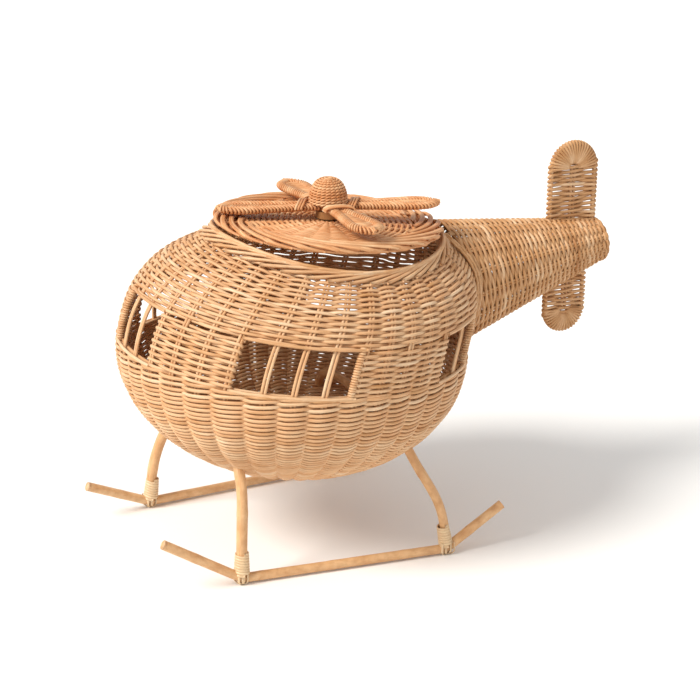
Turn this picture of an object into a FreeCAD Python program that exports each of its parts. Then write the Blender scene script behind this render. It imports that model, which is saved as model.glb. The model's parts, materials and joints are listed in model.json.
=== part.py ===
import FreeCAD, Part
import math
import os

# Woven rattan toy helicopter: a round lidded basket with a tail boom, two fins, a loose-turning
# rotor on the lid and a skid frame of bent poles. Millimetres, +Z up, +X to the nose, +Y to port.
# The origin lies on the ground plane, under the middle of the basket's widest ring.

# Basket
BODY_RADIUS = 201.0
EQUATOR_HEIGHT = 229.0
BODY_PITCH = 3.8
LOWER_DEPTH = 147.0
LOWER_POWER = 2.08
BASE_DROP = 138.0
UPPER_DEPTH = 148.0
UPPER_POWER = 3.77
SHOULDER_RISE = 118.5
MOUTH_RISE = 130.5
MOUTH_RADIUS = 131.0
MOUTH_SHIFT = 36.0
MOUTH_DIP = 17.0
WALL = 7.0
BASE_THICKNESS = 8.0
RIM_TUBE = 5.0
RING_STATIONS = [0, 25, 50, 70, 85, 97, 107, 114, SHOULDER_RISE, 124.5, MOUTH_RISE]

# Windows: sill and head heights above the equator, and where each one starts and ends round the
# basket, in degrees from the nose towards port
SILL_RISE = 0.0
HEAD_RISE = 66.0
JAMB_RADIUS = 3.9
JAMB_GAP = 0.4
BAR_GRIP = 6.0
BAR_RADIUS = 2.1
BAR_PAIR_GAP = 4.4
NOSE_WINDOW = (-14.5, 15.0)
FRONT_WINDOW = (46.0, 85.5)
REAR_WINDOW = (118.5, 141.5)
STARBOARD_DROP = 20.0

# Tail boom and fins
BOOM_START = 150.0
BOOM_END = 405.0
BOOM_START_RADIUS = 86.0
BOOM_END_RADIUS = 27.5
BOOM_START_HEIGHT = 272.5
BOOM_END_HEIGHT = 306.0
BOOM_WALL = 6.0
BOOM_CAP_BULGE = 11.0
BOOM_STAND_OFF = 0.5
RIM_CLEAR = 1.5
DRUM_OVER_MOUTH = 30.0
FIN_POLE = 4.8
FIN_PANEL = 5.0
UPPER_FIN_FRONT = 333.0
UPPER_FIN_BACK = 402.0
UPPER_FIN_TOP = 433.0
LOWER_FIN_FRONT = 333.0
LOWER_FIN_BACK = 393.0
LOWER_FIN_BOTTOM = 193.0

# Skid frame
RUNNER_POLE = 5.4
STRAP = 1.5
FRONT_POLE = 6.2
REAR_POLE = 5.4
PORT_FRONT_FOOT = (114.0, 120.0)
PORT_REAR_FOOT = (-130.0, 144.0)
PORT_FRONT_TIP = (203.0, 112.0, 61.0)
PORT_REAR_TIP = (-197.0, 151.0, 53.0)
STARBOARD_FRONT_FOOT = (135.0, -119.0)
STARBOARD_REAR_FOOT = (-116.0, -132.0)
STARBOARD_FRONT_TIP = (215.0, -115.0, 42.0)
STARBOARD_REAR_TIP = (-183.0, -136.0, 51.0)
BOW_TOP = 158.0
BINDING = 2.6
BINDING_HEIGHT = 27.0

# Lid
LID_CENTRE = (-45.0, 368.6)
LID_TILT = 3.8
LID_RADIUS = 128.0
LID_TUBE = 4.5
LID_PANEL = 8.0

# Rotor
ROTOR_GAP = 0.6
ROTOR_HEIGHT = 387.3
BLADE_THICKNESS = 10.0
BLADE_PANEL = 6.0
BLADE_EDGE = 5.0
BLADE_LENGTH = 130.0
CROSS_BLADE_LENGTH = 124.0
LONG_BLADE_ANGLE = 162.0
CROSS_BLADE_ANGLE = 90.0
HUB_RADIUS = 23.5
HUB_RISE = 29.0
PEG_RADIUS = 5.0
PEG_CLEARANCE = 0.6
BEAD_RADIUS = 14.0
TOGGLE_RADIUS = 11.0
TOGGLE_THICKNESS = 6.0
LASH = 1.6

Vec = FreeCAD.Vector
UP = Vec(0, 0, 1)
os.makedirs("parts", exist_ok=True)


def save(name, shape):
    shape.exportStep("parts/" + name + ".step")
    print(name, len(shape.Solids), round(shape.Volume), shape.isValid())


def profile_radius(z):
    """Outer radius of the basket at a height above its widest ring."""
    if z < 0:
        return BODY_RADIUS * math.sqrt(max(0.0, 1 - (-z / LOWER_DEPTH) ** LOWER_POWER))
    if z <= SHOULDER_RISE:
        return BODY_RADIUS * math.sqrt(1 - (z / UPPER_DEPTH) ** UPPER_POWER)
    start = BODY_RADIUS * math.sqrt(1 - (SHOULDER_RISE / UPPER_DEPTH) ** UPPER_POWER)
    part = (z - SHOULDER_RISE) / (MOUTH_RISE - SHOULDER_RISE)
    return start + (MOUTH_RADIUS - start) * part


def dip_at(z):
    """How far a ring sags at port and starboard."""
    if z <= 0:
        return 0.0
    return MOUTH_DIP * math.sqrt(z / MOUTH_RISE)


def shift_at(z):
    """How far a ring's centre sits towards the tail."""
    if z <= 0:
        return 0.0
    return MOUTH_SHIFT * (z / MOUTH_RISE) ** 1.5


def profile(offset, heights):
    """Radius and height pairs, pushed outwards square to the wall by the offset."""
    pairs = []
    for z in heights:
        low = profile_radius(z - 0.5)
        high = profile_radius(z + 0.5)
        slope = high - low
        size = math.hypot(1.0, slope)
        pairs.append((profile_radius(z) + offset / size, z - offset * slope / size, z))
    return pairs


def ring_wire(radius, z, station):
    """A closed ring that sags at its two sides."""
    dip = dip_at(station)
    shift = shift_at(station)
    if station == 0:
        return Part.Wire([Part.makeCircle(radius, Vec(0, 0, z), UP)])
    points = []
    for i in range(24):
        a = 2 * math.pi * i / 24
        sag = dip * math.sin(a) ** 2
        points.append(Vec(radius * math.cos(a) - shift, radius * math.sin(a), z - sag))
    curve = Part.BSplineCurve()
    curve.interpolate(points, PeriodicFlag=True)
    return Part.Wire([curve.toShape()])


def upper_surface(offset):
    wires = []
    for radius, z, station in profile(offset, RING_STATIONS):
        level = 0 if station == 0 else z
        wires.append(ring_wire(radius, level, station))
    return wires


def upper_shell(outer_offset, inner_offset):
    """The wall from the widest ring up to the mouth."""
    outer = upper_surface(outer_offset)
    inner = upper_surface(inner_offset)
    faces = list(Part.makeLoft(outer, False, False).Faces)
    faces += Part.makeLoft(inner, False, False).Faces
    faces += Part.Face(outer[0]).cut(Part.Face(inner[0])).Faces
    faces += Part.makeRuledSurface(outer[-1].Edges[0], inner[-1].Edges[0]).Faces
    shell = Part.Shell(faces)
    shell.sewShape()
    solid = Part.Solid(shell)
    if solid.Volume < 0:
        solid.reverse()
    return solid


def lower_line(offset):
    top = []
    for i in range(15):
        z = -BASE_DROP * i / 14
        low = profile_radius(z - 0.5)
        high = profile_radius(z + 0.5)
        slope = (high - low) if i else 0.0
        size = math.hypot(1.0, slope)
        top.append(Vec(profile_radius(z) + offset / size, 0, z - offset * slope / size))
    return top


def lower_solid(offset, floor):
    """Solid of revolution under the widest ring, cut flat at the floor height."""
    points = lower_line(offset)
    curve = Part.BSplineCurve()
    curve.interpolate(points)
    end = points[-1]
    edges = [Part.makeLine(Vec(0, 0, 0), points[0]), curve.toShape()]
    edges.append(Part.makeLine(end, Vec(0, 0, end.z)))
    edges.append(Part.makeLine(Vec(0, 0, end.z), Vec(0, 0, 0)))
    solid = Part.Face(Part.Wire(edges)).revolve(Vec(0, 0, 0), UP, 360)
    box = Part.makeBox(600, 600, 600, Vec(-300, -300, floor))
    return solid.common(box)


def lean_at(z, low, head):
    """Fore and aft place at a height on the straight line that joins a window's sill and head."""
    slope = (shift_at(low) - shift_at(head)) / (head - low)
    return slope * (z - low) - shift_at(low)


def sector(start, end, low, head):
    """A tall wedge between two angles, in degrees, leaning as the window between two heights does."""
    steps = 6
    half = 300.0
    foot = lean_at(-half, low, head)
    top = lean_at(half, low, head)
    points = [Vec(foot, 0, -half)]
    for i in range(steps + 1):
        a = math.radians(start + (end - start) * i / steps)
        points.append(Vec(400 * math.cos(a) + foot, 400 * math.sin(a), -half))
    points.append(points[0])
    return Part.Face(Part.makePolygon(points)).extrude(Vec(top - foot, 0, 2 * half))


def sagging_slab(height, thickness):
    """Everything under a ring height, down by the thickness, sagging to the sides."""
    dip = dip_at(height)
    half = 260.0
    if dip == 0:
        return Part.makeBox(600, 2 * half, thickness, Vec(-300, -half, height - thickness))
    drop = dip * (half / BODY_RADIUS) ** 2
    top = Part.Arc(Vec(-300, -half, height - drop), Vec(-300, 0, height), Vec(-300, half, height - drop))
    low = [Vec(-300, half, height - drop - thickness), Vec(-300, -half, height - drop - thickness)]
    edges = [top.toShape()]
    edges.append(Part.makeLine(Vec(-300, half, height - drop), low[0]))
    edges.append(Part.makeLine(low[0], low[1]))
    edges.append(Part.makeLine(low[1], Vec(-300, -half, height - drop)))
    return Part.Face(Part.Wire(edges)).extrude(Vec(600, 0, 0))


def pitched(shape):
    out = shape.copy()
    out.translate(Vec(0, 0, EQUATOR_HEIGHT))
    out.rotate(Vec(0, 0, EQUATOR_HEIGHT), Vec(0, 1, 0), -BODY_PITCH)
    return out


def rod(points, radius):
    """A round pole along a smooth line through the points."""
    curve = Part.BSplineCurve()
    curve.interpolate(points)
    spine = Part.Wire([curve.toShape()])
    start = curve.value(curve.FirstParameter)
    along = curve.tangent(curve.FirstParameter)[0]
    circle = Part.Wire([Part.makeCircle(radius, start, along)])
    pipe = Part.BRepOffsetAPI.MakePipeShell(spine)
    pipe.setFrenetMode(True)
    pipe.add(circle)
    pipe.build()
    pipe.makeSolid()
    return pipe.shape()


def bent_pole(points, radius):
    """Straight lengths of pole meeting in rounded corners."""
    shape = None
    for i in range(len(points) - 1):
        step = points[i + 1] - points[i]
        piece = Part.makeCylinder(radius, step.Length, points[i], step)
        if i:
            piece = piece.fuse(Part.makeSphere(radius, points[i]))
        shape = piece if shape is None else shape.fuse(piece)
    return shape.removeSplitter()


def upright(angle, aside, low, head, radius):
    """A straight stick in the middle of the wall, beside an angle, with its ends pushed into the weave."""
    a = math.radians(angle) + aside / BODY_RADIUS
    sag = dip_at(head) * math.sin(a) ** 2
    ends = []
    for z, height in ((low - BAR_GRIP, low - BAR_GRIP), (head + BAR_GRIP, head + BAR_GRIP - sag)):
        r = profile_radius(z) - WALL / 2
        ends.append(Vec(r * math.cos(a) + lean_at(height, low, head), r * math.sin(a), height))
    step = ends[1] - ends[0]
    return Part.makeCylinder(radius, step.Length, ends[0], step)


# ---- Basket walls
upper = upper_shell(0.0, -WALL)
lower_outer = lower_solid(0.0, -BASE_DROP)
lower_inner = lower_solid(-WALL, -BASE_DROP + BASE_THICKNESS)
base_radius = profile_radius(-BASE_DROP + BASE_THICKNESS) - WALL
base_disc = Part.makeCylinder(base_radius, BASE_THICKNESS, Vec(0, 0, -BASE_DROP))
lower_shell = lower_outer.cut(lower_inner).cut(base_disc)

under_head = sagging_slab(HEAD_RISE, 400)
band = under_head.cut(sagging_slab(SILL_RISE, 400))
lowered_head = sagging_slab(HEAD_RISE - STARBOARD_DROP, 400)
lowered_band = lowered_head.cut(sagging_slab(SILL_RISE - STARBOARD_DROP, 400))

windows = {}
windows["nose"] = (NOSE_WINDOW[0], NOSE_WINDOW[1], 2, 0.0)
windows["port_front"] = (FRONT_WINDOW[0], FRONT_WINDOW[1], 3, 0.0)
windows["port_rear"] = (REAR_WINDOW[0], REAR_WINDOW[1], 1, 0.0)
windows["starboard_front"] = (-FRONT_WINDOW[1], -FRONT_WINDOW[0], 3, STARBOARD_DROP)
windows["starboard_rear"] = (-REAR_WINDOW[1], -REAR_WINDOW[0], 1, STARBOARD_DROP)

wedges = {}
holes = {}
for name in windows:
    start, end, bars, drop = windows[name]
    wedges[name] = sector(start, end, SILL_RISE - drop, HEAD_RISE - drop)
    holes[name] = wedges[name].common(lowered_band if drop else band)


def window_frame(name):
    """Two wrapped jambs and the pairs of bars between them."""
    start, end, bars, drop = windows[name]
    low = SILL_RISE - drop
    head = HEAD_RISE - drop
    sticks = []
    pitch = (end - start) / (bars + 1)
    for i in range(bars + 2):
        angle = start + pitch * i
        if i == 0:
            sticks.append(upright(angle, JAMB_RADIUS + JAMB_GAP, low, head, JAMB_RADIUS))
        elif i == bars + 1:
            sticks.append(upright(angle, -JAMB_RADIUS - JAMB_GAP, low, head, JAMB_RADIUS))
        else:
            sticks.append(upright(angle, -BAR_PAIR_GAP / 2, low, head, BAR_RADIUS))
            sticks.append(upright(angle, BAR_PAIR_GAP / 2, low, head, BAR_RADIUS))
    return Part.makeCompound(sticks)


for name in windows:
    save(name + "_window_frame", pitched(window_frame(name)))

# ---- Skid frame
runner_height = RUNNER_POLE + STRAP


def foot(place, height):
    return Vec(place[0], place[1], height)


def runner(front_tip, front_foot, rear_foot, rear_tip):
    points = [Vec(*front_tip), foot(front_foot, runner_height)]
    points += [foot(rear_foot, runner_height), Vec(*rear_tip)]
    return bent_pole(points, RUNNER_POLE)


def bow(port_foot, starboard_foot, lean, pull, pole):
    """A pole bent over through the basket from one runner to the other."""
    px, py = port_foot
    sx, sy = starboard_foot
    points = [Vec(px, py, runner_height + 2)]
    points.append(Vec(px + 0.2 * (lean - px), py - 0.08 * pull, 60))
    points.append(Vec(px + 0.8 * (lean - px), py - 0.55 * pull, 116))
    points.append(Vec(lean, py - 1.5 * pull, 146))
    points.append(Vec(lean, 0, BOW_TOP))
    points.append(Vec(lean, sy + 1.5 * pull, 146))
    points.append(Vec(sx + 0.8 * (lean - sx), sy + 0.55 * pull, 116))
    points.append(Vec(sx + 0.2 * (lean - sx), sy + 0.08 * pull, 60))
    points.append(Vec(sx, sy, runner_height + 2))
    return rod(points, pole)


port_runner = runner(PORT_FRONT_TIP, PORT_FRONT_FOOT, PORT_REAR_FOOT, PORT_REAR_TIP)
starboard_runner = runner(STARBOARD_FRONT_TIP, STARBOARD_FRONT_FOOT, STARBOARD_REAR_FOOT, STARBOARD_REAR_TIP)
front_bow_full = bow(PORT_FRONT_FOOT, STARBOARD_FRONT_FOOT, 106.0, 30.0, FRONT_POLE)
rear_bow_full = bow(PORT_REAR_FOOT, STARBOARD_REAR_FOOT, -84.0, 24.0, REAR_POLE)
front_bow = front_bow_full.cut(port_runner).cut(starboard_runner)
rear_bow = rear_bow_full.cut(port_runner).cut(starboard_runner)
save("port_runner", port_runner)
save("starboard_runner", starboard_runner)
save("front_bow", front_bow)
save("rear_bow", rear_bow)


def binding(place, runner_shape, bow_shape, pole, along):
    """Flat cane wound round the foot of a leg and strapped under the runner."""
    base = foot(place, runner_height)
    slab = Part.makeCylinder(40, BINDING_HEIGHT, foot(place, runner_height + 1.0))
    near = bow_shape.common(slab)
    box = near.BoundBox
    middle = Vec((box.XMin + box.XMax) / 2, (box.YMin + box.YMax) / 2, 0)
    low = Vec(place[0], place[1], runner_height - 1)
    top = Vec(2 * middle.x - place[0], 2 * middle.y - place[1], runner_height + BINDING_HEIGHT)
    step = top - low
    sleeve = Part.makeCone(pole + BINDING + 1.6, pole + BINDING, step.Length, low, step)
    strap = Part.makeCylinder(RUNNER_POLE + STRAP, 11.0, base - along * 5.5, along)
    return sleeve.fuse(strap).cut(runner_shape).cut(bow_shape)


def heading(front, rear):
    step = foot(front, 0) - foot(rear, 0)
    return step.normalize()


port_along = heading(PORT_FRONT_FOOT, PORT_REAR_FOOT)
star_along = heading(STARBOARD_FRONT_FOOT, STARBOARD_REAR_FOOT)
save("port_front_binding", binding(PORT_FRONT_FOOT, port_runner, front_bow_full, FRONT_POLE, port_along))
save("port_rear_binding", binding(PORT_REAR_FOOT, port_runner, rear_bow_full, REAR_POLE, port_along))
binding_sf = binding(STARBOARD_FRONT_FOOT, starboard_runner, front_bow_full, FRONT_POLE, star_along)
binding_sr = binding(STARBOARD_REAR_FOOT, starboard_runner, rear_bow_full, REAR_POLE, star_along)
save("starboard_front_binding", binding_sf)
save("starboard_rear_binding", binding_sr)

# ---- Basket pieces, with the bows passing through the lower wall
lower_pierced = lower_shell
for name in holes:
    lower_pierced = lower_pierced.cut(holes[name])
lower_wall = pitched(lower_pierced).cut(front_bow_full).cut(rear_bow_full)
save("lower_wall", lower_wall)
save("base_disc", pitched(base_disc))
save("upper_wall", pitched(upper.cut(under_head)))
piers = {}
piers["nose_port_pier"] = (NOSE_WINDOW[1], FRONT_WINDOW[0])
piers["mid_port_pier"] = (FRONT_WINDOW[1], REAR_WINDOW[0])
piers["tail_pier"] = (REAR_WINDOW[1], 360 - REAR_WINDOW[1])
piers["mid_starboard_pier"] = (-REAR_WINDOW[0], -FRONT_WINDOW[1])
piers["nose_starboard_pier"] = (-FRONT_WINDOW[0], NOSE_WINDOW[0])
wall_band = upper.common(band)
between = wall_band
for name in wedges:
    between = between.cut(wedges[name])
for solid in between.Solids:
    middle = solid.CenterOfMass
    around = math.degrees(math.atan2(middle.y, middle.x))
    for name in piers:
        start, end = piers[name]
        if start < around < end or start < around + 360 < end:
            save(name, pitched(solid))
for name in ("starboard_front", "starboard_rear"):
    save(name + "_header", pitched(wall_band.common(wedges[name]).cut(holes[name])))


def rim_line(height, radius):
    points = []
    for i in range(24):
        a = 2 * math.pi * i / 24
        sag = MOUTH_DIP * math.sin(a) ** 2
        points.append(Vec(radius * math.cos(a) - MOUTH_SHIFT, radius * math.sin(a), height - sag))
    curve = Part.BSplineCurve()
    curve.interpolate(points, PeriodicFlag=True)
    return curve


def ring_tube(curve, radius):
    start = curve.value(curve.FirstParameter)
    along = curve.tangent(curve.FirstParameter)[0]
    pipe = Part.BRepOffsetAPI.MakePipeShell(Part.Wire([curve.toShape()]))
    pipe.setBiNormalMode(UP)
    pipe.add(Part.Wire([Part.makeCircle(radius, start, along)]))
    pipe.build()
    pipe.makeSolid()
    return pipe.shape()


rim = ring_tube(rim_line(MOUTH_RISE + 1.5, MOUTH_RADIUS - 4.0), RIM_TUBE)
save("rim_border", pitched(rim.cut(upper)))

# ---- Tail boom and fins
boom_slope = (BOOM_END_HEIGHT - BOOM_START_HEIGHT) / (BOOM_END - BOOM_START)
boom_base = Vec(-BOOM_START, 0, BOOM_START_HEIGHT)
boom_tip = Vec(-BOOM_END, 0, BOOM_END_HEIGHT)
boom_line = boom_tip - boom_base
boom_length = boom_line.Length
boom_outer = Part.makeCone(BOOM_START_RADIUS, BOOM_END_RADIUS, boom_length, boom_base, boom_line)
boom_inner = Part.makeCone(BOOM_START_RADIUS - BOOM_WALL, BOOM_END_RADIUS - BOOM_WALL, boom_length, boom_base, boom_line)


def filled_body(offset):
    """The whole basket as one filled block without its sag, with a drum over the mouth and its border."""
    rings = profile(offset, RING_STATIONS)
    wires = []
    for radius, z, station in rings:
        level = 0 if station == 0 else z
        centre = Vec(-shift_at(station), 0, level)
        wires.append(Part.Wire([Part.makeCircle(radius, centre, UP)]))
    drum_height = MOUTH_RISE - SHOULDER_RISE + DRUM_OVER_MOUTH
    drum_foot = Vec(-MOUTH_SHIFT, 0, SHOULDER_RISE)
    drum = Part.makeCylinder(MOUTH_RADIUS + RIM_CLEAR + offset, drum_height, drum_foot)
    block = Part.makeLoft(wires, True, False).fuse(lower_solid(offset, -BASE_DROP))
    return pitched(block.fuse(drum))


body_block = filled_body(BOOM_STAND_OFF)
boom_wall = boom_outer.cut(boom_inner).cut(body_block)
boom_wall = max(boom_wall.Solids, key=lambda piece: piece.Volume)
save("boom_wall", boom_wall)

cap_radius = (BOOM_END_RADIUS ** 2 + BOOM_CAP_BULGE ** 2) / (2 * BOOM_CAP_BULGE)
unit = Vec(boom_line).normalize()
cap_centre = boom_tip - unit * (cap_radius - BOOM_CAP_BULGE)
cap_ball = Part.makeSphere(cap_radius, cap_centre)
cap_slot = Part.makeCylinder(BOOM_END_RADIUS, 40, boom_tip, unit)
save("boom_end_cap", cap_ball.common(cap_slot))


def fin_frame(front, back, tip, root, sign):
    """A pole bent into a hoop that stands on the boom."""
    reach = (back - front) / 2 - FIN_POLE
    middle = -(front + back) / 2
    bend = tip - sign * (FIN_POLE + reach)
    a = Vec(middle + reach, 0, root)
    b = Vec(middle + reach, 0, bend)
    c = Vec(middle, 0, tip - sign * FIN_POLE)
    d = Vec(middle - reach, 0, bend)
    e = Vec(middle - reach, 0, root)
    edges = [Part.makeLine(a, b), Part.Arc(b, c, d).toShape(), Part.makeLine(d, e)]
    spine = Part.Wire(edges)
    pipe = Part.BRepOffsetAPI.MakePipeShell(spine)
    pipe.add(Part.Wire([Part.makeCircle(FIN_POLE, a, b - a)]))
    pipe.build()
    pipe.makeSolid()
    plate = Part.Face(Part.Wire(edges + [Part.makeLine(e, a)]))
    plate.translate(Vec(0, -FIN_PANEL / 2, 0))
    return pipe.shape(), plate.extrude(Vec(0, FIN_PANEL, 0))


upper_frame, upper_plate = fin_frame(UPPER_FIN_FRONT, UPPER_FIN_BACK, UPPER_FIN_TOP, 300.0, 1)
lower_frame, lower_plate = fin_frame(LOWER_FIN_FRONT, LOWER_FIN_BACK, LOWER_FIN_BOTTOM, 300.0, -1)
save("upper_fin_frame", upper_frame.cut(boom_outer))
save("upper_fin_panel", upper_plate.cut(upper_frame).cut(boom_outer))
save("lower_fin_frame", lower_frame.cut(boom_outer))
save("lower_fin_panel", lower_plate.cut(lower_frame).cut(boom_outer))

# ---- Lid
lid_middle = Vec(LID_CENTRE[0], 0, LID_CENTRE[1])


def tilted(shape):
    out = shape.copy()
    out.rotate(lid_middle, Vec(0, 1, 0), -LID_TILT)
    return out


lid_torus = Part.makeTorus(LID_RADIUS, LID_TUBE, lid_middle, UP)
lid_plate = Part.makeCylinder(LID_RADIUS, LID_PANEL, lid_middle - UP * (LID_PANEL / 2), UP)
peg_hole = Part.makeCylinder(PEG_RADIUS + PEG_CLEARANCE, 60, lid_middle - UP * 30, UP)
save("lid_border", tilted(lid_torus))
save("lid_panel", tilted(lid_plate.cut(lid_torus)).cut(peg_hole))

# ---- Rotor
blade_low = ROTOR_HEIGHT - BLADE_THICKNESS / 2
lid_top = LID_CENTRE[1] + LID_PANEL / 2 / math.cos(math.radians(LID_TILT))
tilt_rise = math.tan(math.radians(LID_TILT))


def blade_outline(length, inset, height, low):
    """A paddle, narrow at the hub and wide near its rounded tips, as one flat block."""
    stations = [(0.0, 11.5), (0.3, 12.5), (0.6, 17.5), (0.8, 20.5), (0.92, 17.0), (0.985, 8.5), (1.0, 0.0)]
    reach = length - inset
    one = []
    for part, half in stations:
        one.append((part * reach, max(0.0, half - inset) if half else 0.0))
    upper_side = [(-u, w) for u, w in reversed(one)] + [(u, w) for u, w in one[1:]]
    lower_side = [(u, -w) for u, w in reversed(upper_side)][1:-1]
    points = [Vec(u, w, low) for u, w in upper_side + lower_side]
    curve = Part.BSplineCurve()
    curve.interpolate(points, PeriodicFlag=True)
    return Part.Face(Part.Wire([curve.toShape()])).extrude(Vec(0, 0, height))


def paddle(length, angle):
    outer = blade_outline(length, 0.0, BLADE_THICKNESS, blade_low)
    core = blade_outline(length, BLADE_EDGE, BLADE_THICKNESS, blade_low)
    plate = blade_outline(length, BLADE_EDGE, BLADE_PANEL, ROTOR_HEIGHT - BLADE_PANEL / 2)
    shapes = []
    for shape in (outer.cut(core), plate, outer):
        shape.rotate(Vec(0, 0, 0), UP, angle)
        shape.translate(Vec(LID_CENTRE[0], 0, 0))
        shapes.append(shape)
    return shapes


long_frame, long_plate, long_block = paddle(BLADE_LENGTH, LONG_BLADE_ANGLE)
cross_frame, cross_plate, cross_block = paddle(CROSS_BLADE_LENGTH, CROSS_BLADE_ANGLE)
save("long_blade_frame", long_frame)
save("long_blade_panel", long_plate)
save("cross_blade_frame", cross_frame.cut(long_block))
save("cross_blade_panel", cross_plate.cut(long_block))

hub_base = Vec(LID_CENTRE[0], 0, blade_low + BLADE_THICKNESS)
dome = Part.makeSphere(HUB_RADIUS, Vec(0, 0, 0), UP, 0, 90, 360)
stretch = FreeCAD.Matrix()
stretch.A33 = HUB_RISE / HUB_RADIUS
dome = dome.transformGeometry(stretch)
dome.translate(hub_base)
save("hub_dome", dome)


def lashing(length, angle, block):
    sleeves = []
    for side in (0, 180):
        band_box = Part.makeBox(9.0, 26 + 2 * LASH, BLADE_THICKNESS + 2 * LASH)
        band_box.translate(Vec(27.0, -13 - LASH, blade_low - LASH))
        band_box.rotate(Vec(0, 0, 0), UP, angle + side)
        band_box.translate(Vec(LID_CENTRE[0], 0, 0))
        sleeves.append(band_box.cut(block))
    return sleeves


sleeves = lashing(BLADE_LENGTH, LONG_BLADE_ANGLE, long_block)
sleeves += lashing(CROSS_BLADE_LENGTH, CROSS_BLADE_ANGLE, cross_block)
hub_lashing = sleeves[0]
for sleeve in sleeves[1:]:
    hub_lashing = hub_lashing.fuse(sleeve)
hub_lashing = hub_lashing.cut(long_block).cut(cross_block)
save("hub_lashing", hub_lashing)

bead_low = lid_top + BEAD_RADIUS * tilt_rise + ROTOR_GAP
lid_under = LID_CENTRE[1] - LID_PANEL / 2 / math.cos(math.radians(LID_TILT))
toggle_top = lid_under - TOGGLE_RADIUS * tilt_rise - ROTOR_GAP
toggle_low = toggle_top - TOGGLE_THICKNESS
centre_x = LID_CENTRE[0]
bead = Part.makeCylinder(BEAD_RADIUS, blade_low - bead_low, Vec(centre_x, 0, bead_low), UP)
shaft = Part.makeCylinder(PEG_RADIUS, bead_low - toggle_low, Vec(centre_x, 0, toggle_low), UP)
save("rotor_peg", bead.fuse(shaft).removeSplitter())
toggle = Part.makeCylinder(TOGGLE_RADIUS, TOGGLE_THICKNESS, Vec(centre_x, 0, toggle_low), UP)
save("peg_toggle", toggle.cut(shaft))
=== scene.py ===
# %% [markdown]
# A woven rattan helicopter basket. Everything you see on the real thing is one of three stocks:
# round core that is woven, thicker round poles that are bent with heat, and flat cane that binds.
# So nearly every piece below is the same idea: a strand is a tube carried along a path, and the
# weave is a formula for how each path goes in front of one stake and behind the next.

# %% The frame that every piece fits
import bpy
import json
import math
import numpy as np
from mathutils import Matrix, Vector


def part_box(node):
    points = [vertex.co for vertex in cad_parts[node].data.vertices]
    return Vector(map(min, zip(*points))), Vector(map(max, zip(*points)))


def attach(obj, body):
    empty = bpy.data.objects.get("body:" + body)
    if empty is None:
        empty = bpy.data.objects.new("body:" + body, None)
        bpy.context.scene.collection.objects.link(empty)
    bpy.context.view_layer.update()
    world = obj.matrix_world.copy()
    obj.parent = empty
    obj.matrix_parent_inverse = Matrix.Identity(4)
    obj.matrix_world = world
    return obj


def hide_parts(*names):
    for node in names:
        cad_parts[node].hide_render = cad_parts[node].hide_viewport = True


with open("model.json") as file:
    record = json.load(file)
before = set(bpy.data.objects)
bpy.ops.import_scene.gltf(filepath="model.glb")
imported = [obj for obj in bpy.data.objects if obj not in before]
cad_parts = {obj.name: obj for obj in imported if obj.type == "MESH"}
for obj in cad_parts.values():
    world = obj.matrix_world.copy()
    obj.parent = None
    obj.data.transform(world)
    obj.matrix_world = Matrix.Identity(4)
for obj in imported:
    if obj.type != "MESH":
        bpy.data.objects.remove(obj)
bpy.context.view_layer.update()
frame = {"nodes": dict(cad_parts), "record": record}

MM = 0.001
SEED = 7
random = np.random.default_rng(SEED)
mounts = {m["name"]: m for m in frame["record"]["mounts"]}
print("nodes in the frame:", len(frame["nodes"]))

# %% [markdown]
# The camera comes first. It looks from the port side, a little ahead of square, and from above the
# basket's widest ring. A long lens from two metres away keeps the round basket from bulging.

# %% Camera
BASKET_AXIS_HEIGHT = 0.2277
VIEW_DISTANCE = 2.185
VIEW_AZIMUTH = math.radians(24.0)
VIEW_RISE = math.radians(19.2)
LENS_MM = 97.8
SENSOR_MM = 36.0
SHIFT_ASIDE, SHIFT_UP = 0.0832, -0.0087
toward = np.array([math.sin(VIEW_AZIMUTH) * math.cos(VIEW_RISE),
                   math.cos(VIEW_AZIMUTH) * math.cos(VIEW_RISE), math.sin(VIEW_RISE)])
target = np.array([0.0, 0.0, BASKET_AXIS_HEIGHT])
camera_data = bpy.data.cameras.new("camera")
camera_data.sensor_width = SENSOR_MM
camera_data.lens = LENS_MM
camera_data.shift_x = SHIFT_ASIDE
camera_data.shift_y = SHIFT_UP
camera = bpy.data.objects.new("camera", camera_data)
bpy.context.scene.collection.objects.link(camera)
camera.location = target + toward * VIEW_DISTANCE
look = -toward
side = np.cross(look, [0, 0, 1])
side /= np.linalg.norm(side)
upward = np.cross(side, look)
camera.rotation_euler = Matrix([[side[i], upward[i], -look[i]] for i in range(3)]).to_euler()
bpy.context.scene.camera = camera
print("camera at", np.round(camera.location, 3))

# %% [markdown]
# One tube function makes every strand. The profile is an ellipse; the path's own tangent and a
# guide direction, usually the surface normal, say how the ellipse stands. Many strands are made at
# once as arrays, then poured into one mesh with each strand's tint and its length along as a UV map.

# %% Strands to mesh
SIDES = 6


def tangents(path, closed):
    """Central differences along a path, wrapped round when it is closed."""
    if closed:
        step = np.roll(path, -1, axis=0) - np.roll(path, 1, axis=0)
    else:
        step = np.gradient(path, axis=0)
    return step / np.maximum(np.linalg.norm(step, axis=1, keepdims=True), 1e-12)


def circle(count):
    """Angles evenly spaced once round."""
    return np.linspace(0, 2 * np.pi, count, endpoint=False)


def travelled(path):
    """The distance along a path at each of its points."""
    return np.concatenate([[0], np.cumsum(np.linalg.norm(np.diff(path, axis=0), axis=1))])


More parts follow.
